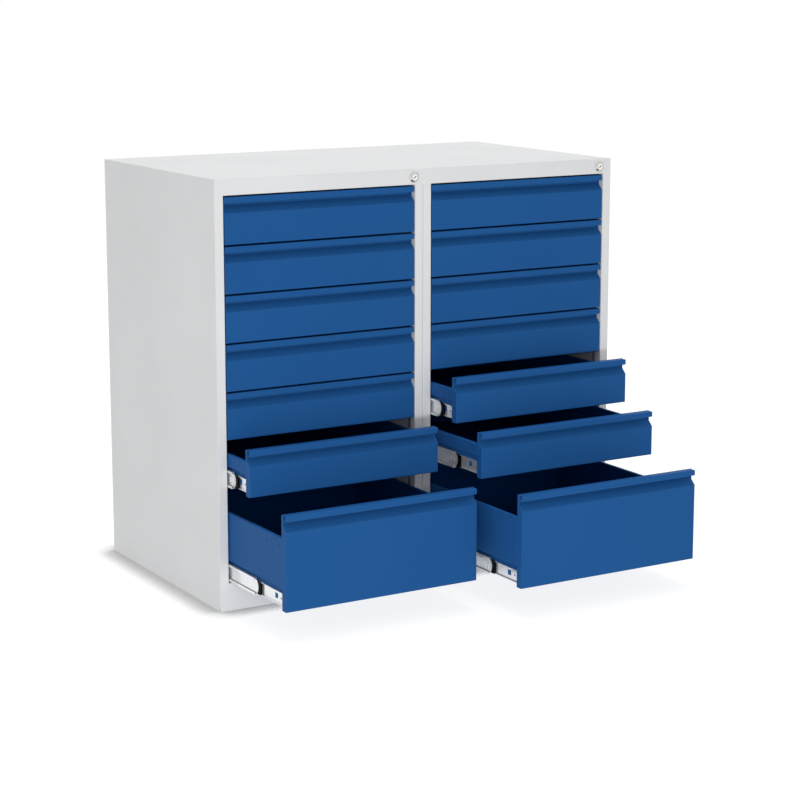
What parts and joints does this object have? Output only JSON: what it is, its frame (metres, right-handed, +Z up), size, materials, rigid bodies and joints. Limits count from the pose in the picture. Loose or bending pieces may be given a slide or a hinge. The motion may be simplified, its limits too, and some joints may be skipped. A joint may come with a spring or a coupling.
{
  "type": "drawer cabinet",
  "caption": "Floor-standing steel drawer cabinet for lab slides: light grey shell, blue drawers with full-width finger pulls on ball slides, key locks on the top rail",
  "frame": {"origin": "the middle of the cabinet's footprint, on the floor", "axes": "+X runs to the right along the front, +Y runs from the front to the back, +Z is up"},
  "size_m": [1.092, 1.015, 1],
  "materials": {
    "cabinet_paint": "light grey satin powder coat with a fine texture",
    "liner_paint": "light grey satin powder coat",
    "drawer_paint": "mid blue satin powder coat with a fine texture",
    "slide_zinc": "bright zinc plate on rolled steel",
    "lock_chrome": "polished chrome"
  },
  "bodies": {
    "cabinet": {"front_frame": "cabinet_paint", "centre_stiles": "cabinet_paint", "left_side_panel": "cabinet_paint", "right_side_panel": "cabinet_paint", "top_panel": "cabinet_paint", "bottom_pan": "cabinet_paint", "base_deck": "cabinet_paint", "back_panel": "cabinet_paint", "left_column_liners": "liner_paint", "right_column_liners": "liner_paint", "left_column_outer_rails": "slide_zinc", "right_column_outer_rails": "slide_zinc", "lock_housings": "lock_chrome", "screws": "slide_zinc"},
    "left_drawer_1": {"left_drawer_1": "drawer_paint", "left_drawer_1_rails": "slide_zinc"},
    "left_drawer_1_middle": {"left_drawer_1_middle_rails": "slide_zinc"},
    "left_drawer_2": {"left_drawer_2": "drawer_paint", "left_drawer_2_rails": "slide_zinc"},
    "left_drawer_2_middle": {"left_drawer_2_middle_rails": "slide_zinc"},
    "left_drawer_3": {"left_drawer_3": "drawer_paint", "left_drawer_3_rails": "slide_zinc"},
    "left_drawer_3_middle": {"left_drawer_3_middle_rails": "slide_zinc"},
    "left_drawer_4": {"left_drawer_4": "drawer_paint", "left_drawer_4_rails": "slide_zinc"},
    "left_drawer_4_middle": {"left_drawer_4_middle_rails": "slide_zinc"},
    "left_drawer_5": {"left_drawer_5": "drawer_paint", "left_drawer_5_rails": "slide_zinc"},
    "left_drawer_5_middle": {"left_drawer_5_middle_rails": "slide_zinc"},
    "left_drawer_6": {"left_drawer_6": "drawer_paint", "left_drawer_6_rails": "slide_zinc"},
    "left_drawer_6_middle": {"left_drawer_6_middle_rails": "slide_zinc"},
    "left_drawer_7": {"left_drawer_7": "drawer_paint", "left_drawer_7_rails": "slide_zinc"},
    "left_drawer_7_middle": {"left_drawer_7_middle_rails": "slide_zinc"},
    "left_lock_plug": {"left_lock_plug": "lock_chrome"},
    "left_lock_bar": {"left_lock_bar": "slide_zinc"},
    "right_drawer_1": {"right_drawer_1": "drawer_paint", "right_drawer_1_rails": "slide_zinc"},
    "right_drawer_1_middle": {"right_drawer_1_middle_rails": "slide_zinc"},
    "right_drawer_2": {"right_drawer_2": "drawer_paint", "right_drawer_2_rails": "slide_zinc"},
    "right_drawer_2_middle": {"right_drawer_2_middle_rails": "slide_zinc"},
    "right_drawer_3": {"right_drawer_3": "drawer_paint", "right_drawer_3_rails": "slide_zinc"},
    "right_drawer_3_middle": {"right_drawer_3_middle_rails": "slide_zinc"},
    "right_drawer_4": {"right_drawer_4": "drawer_paint", "right_drawer_4_rails": "slide_zinc"},
    "right_drawer_4_middle": {"right_drawer_4_middle_rails": "slide_zinc"},
    "right_drawer_5": {"right_drawer_5": "drawer_paint", "right_drawer_5_rails": "slide_zinc"},
    "right_drawer_5_middle": {"right_drawer_5_middle_rails": "slide_zinc"},
    "right_drawer_6": {"right_drawer_6": "drawer_paint", "right_drawer_6_rails": "slide_zinc"},
    "right_drawer_6_middle": {"right_drawer_6_middle_rails": "slide_zinc"},
    "right_drawer_7": {"right_drawer_7": "drawer_paint", "right_drawer_7_rails": "slide_zinc"},
    "right_drawer_7_middle": {"right_drawer_7_middle_rails": "slide_zinc"},
    "right_lock_plug": {"right_lock_plug": "lock_chrome"},
    "right_lock_bar": {"right_lock_bar": "slide_zinc"}
  },
  "joints": [
    {"name": "left_drawer_1_slide", "type": "slide", "parent": "cabinet", "child": "left_drawer_1", "axis": [0, -1, 0], "range_m": [0, 0.55]},
    {"name": "left_drawer_1_middle_slide", "type": "slide", "parent": "cabinet", "child": "left_drawer_1_middle", "axis": [0, -1, 0], "range_m": [0, 0.3025]},
    {"name": "left_drawer_2_slide", "type": "slide", "parent": "cabinet", "child": "left_drawer_2", "axis": [0, -1, 0], "range_m": [0, 0.55]},
    {"name": "left_drawer_2_middle_slide", "type": "slide", "parent": "cabinet", "child": "left_drawer_2_middle", "axis": [0, -1, 0], "range_m": [0, 0.3025]},
    {"name": "left_drawer_3_slide", "type": "slide", "parent": "cabinet", "child": "left_drawer_3", "axis": [0, -1, 0], "range_m": [0, 0.55]},
    {"name": "left_drawer_3_middle_slide", "type": "slide", "parent": "cabinet", "child": "left_drawer_3_middle", "axis": [0, -1, 0], "range_m": [0, 0.3025]},
    {"name": "left_drawer_4_slide", "type": "slide", "parent": "cabinet", "child": "left_drawer_4", "axis": [0, -1, 0], "range_m": [0, 0.55]},
    {"name": "left_drawer_4_middle_slide", "type": "slide", "parent": "cabinet", "child": "left_drawer_4_middle", "axis": [0, -1, 0], "range_m": [0, 0.3025]},
    {"name": "left_drawer_5_slide", "type": "slide", "parent": "cabinet", "child": "left_drawer_5", "axis": [0, -1, 0], "range_m": [0, 0.55]},
    {"name": "left_drawer_5_middle_slide", "type": "slide", "parent": "cabinet", "child": "left_drawer_5_middle", "axis": [0, -1, 0], "range_m": [0, 0.3025]},
    {"name": "left_drawer_6_slide", "type": "slide", "parent": "cabinet", "child": "left_drawer_6", "axis": [0, -1, 0], "range_m": [-0.109, 0.441]},
    {"name": "left_drawer_6_middle_slide", "type": "slide", "parent": "cabinet", "child": "left_drawer_6_middle", "axis": [0, -1, 0], "range_m": [-0.046, 0.18611]},
    {"name": "left_drawer_7_slide", "type": "slide", "parent": "cabinet", "child": "left_drawer_7", "axis": [0, -1, 0], "range_m": [-0.28, 0.27]},
    {"name": "left_drawer_7_middle_slide", "type": "slide", "parent": "cabinet", "child": "left_drawer_7_middle", "axis": [0, -1, 0], "range_m": [-0.153, 0.14754]},
    {"name": "left_lock_turn", "type": "hinge", "parent": "cabinet", "child": "left_lock_plug", "pos_m": [-0.025, -0.311, 0.981], "axis": [0, 1, 0], "range_deg": [0, 90]},
    {"name": "left_lock_bar_lift", "type": "slide", "parent": "cabinet", "child": "left_lock_bar", "axis": [0, 0, 1], "range_m": [0, 0.01]},
    {"name": "right_drawer_1_slide", "type": "slide", "parent": "cabinet", "child": "right_drawer_1", "axis": [0, -1, 0], "range_m": [0, 0.55]},
    {"name": "right_drawer_1_middle_slide", "type": "slide", "parent": "cabinet", "child": "right_drawer_1_middle", "axis": [0, -1, 0], "range_m": [0, 0.3025]},
    {"name": "right_drawer_2_slide", "type": "slide", "parent": "cabinet", "child": "right_drawer_2", "axis": [0, -1, 0], "range_m": [0, 0.55]},
    {"name": "right_drawer_2_middle_slide", "type": "slide", "parent": "cabinet", "child": "right_drawer_2_middle", "axis": [0, -1, 0], "range_m": [0, 0.3025]},
    {"name": "right_drawer_3_slide", "type": "slide", "parent": "cabinet", "child": "right_drawer_3", "axis": [0, -1, 0], "range_m": [0, 0.55]},
    {"name": "right_drawer_3_middle_slide", "type": "slide", "parent": "cabinet", "child": "right_drawer_3_middle", "axis": [0, -1, 0], "range_m": [0, 0.3025]},
    {"name": "right_drawer_4_slide", "type": "slide", "parent": "cabinet", "child": "right_drawer_4", "axis": [0, -1, 0], "range_m": [0, 0.55]},
    {"name": "right_drawer_4_middle_slide", "type": "slide", "parent": "cabinet", "child": "right_drawer_4_middle", "axis": [0, -1, 0], "range_m": [0, 0.3025]},
    {"name": "right_drawer_5_slide", "type": "slide", "parent": "cabinet", "child": "right_drawer_5", "axis": [0, -1, 0], "range_m": [-0.112, 0.438]},
    {"name": "right_drawer_5_middle_slide", "type": "slide", "parent": "cabinet", "child": "right_drawer_5_middle", "axis": [0, -1, 0], "range_m": [-0.053, 0.20727]},
    {"name": "right_drawer_6_slide", "type": "slide", "parent": "cabinet", "child": "right_drawer_6", "axis": [0, -1, 0], "range_m": [-0.223, 0.327]},
    {"name": "right_drawer_6_middle_slide", "type": "slide", "parent": "cabinet", "child": "right_drawer_6_middle", "axis": [0, -1, 0], "range_m": [-0.126, 0.18476]},
    {"name": "right_drawer_7_slide", "type": "slide", "parent": "cabinet", "child": "right_drawer_7", "axis": [0, -1, 0], "range_m": [-0.393, 0.157]},
    {"name": "right_drawer_7_middle_slide", "type": "slide", "parent": "cabinet", "child": "right_drawer_7_middle", "axis": [0, -1, 0], "range_m": [-0.279, 0.11146]},
    {"name": "right_lock_turn", "type": "hinge", "parent": "cabinet", "child": "right_lock_plug", "pos_m": [0.512, -0.311, 0.981], "axis": [0, 1, 0], "range_deg": [0, 90]},
    {"name": "right_lock_bar_lift", "type": "slide", "parent": "cabinet", "child": "right_lock_bar", "axis": [0, 0, 1], "range_m": [0, 0.01]}
  ],
  "couplings": [
    {"joint": "left_drawer_1_middle_slide", "follows": "left_drawer_1_slide", "ratio": 0.55},
    {"joint": "left_drawer_2_middle_slide", "follows": "left_drawer_2_slide", "ratio": 0.55},
    {"joint": "left_drawer_3_middle_slide", "follows": "left_drawer_3_slide", "ratio": 0.55},
    {"joint": "left_drawer_4_middle_slide", "follows": "left_drawer_4_slide", "ratio": 0.55},
    {"joint": "left_drawer_5_middle_slide", "follows": "left_drawer_5_slide", "ratio": 0.55},
    {"joint": "left_drawer_6_middle_slide", "follows": "left_drawer_6_slide", "ratio": 0.42202},
    {"joint": "left_drawer_7_middle_slide", "follows": "left_drawer_7_slide", "ratio": 0.54643},
    {"joint": "left_lock_turn", "follows": "left_lock_bar_lift", "rad_per_m": 157},
    {"joint": "right_drawer_1_middle_slide", "follows": "right_drawer_1_slide", "ratio": 0.55},
    {"joint": "right_drawer_2_middle_slide", "follows": "right_drawer_2_slide", "ratio": 0.55},
    {"joint": "right_drawer_3_middle_slide", "follows": "right_drawer_3_slide", "ratio": 0.55},
    {"joint": "right_drawer_4_middle_slide", "follows": "right_drawer_4_slide", "ratio": 0.55},
    {"joint": "right_drawer_5_middle_slide", "follows": "right_drawer_5_slide", "ratio": 0.47321},
    {"joint": "right_drawer_6_middle_slide", "follows": "right_drawer_6_slide", "ratio": 0.56502},
    {"joint": "right_drawer_7_middle_slide", "follows": "right_drawer_7_slide", "ratio": 0.70992},
    {"joint": "right_lock_turn", "follows": "right_lock_bar_lift", "rad_per_m": 157}
  ]
}
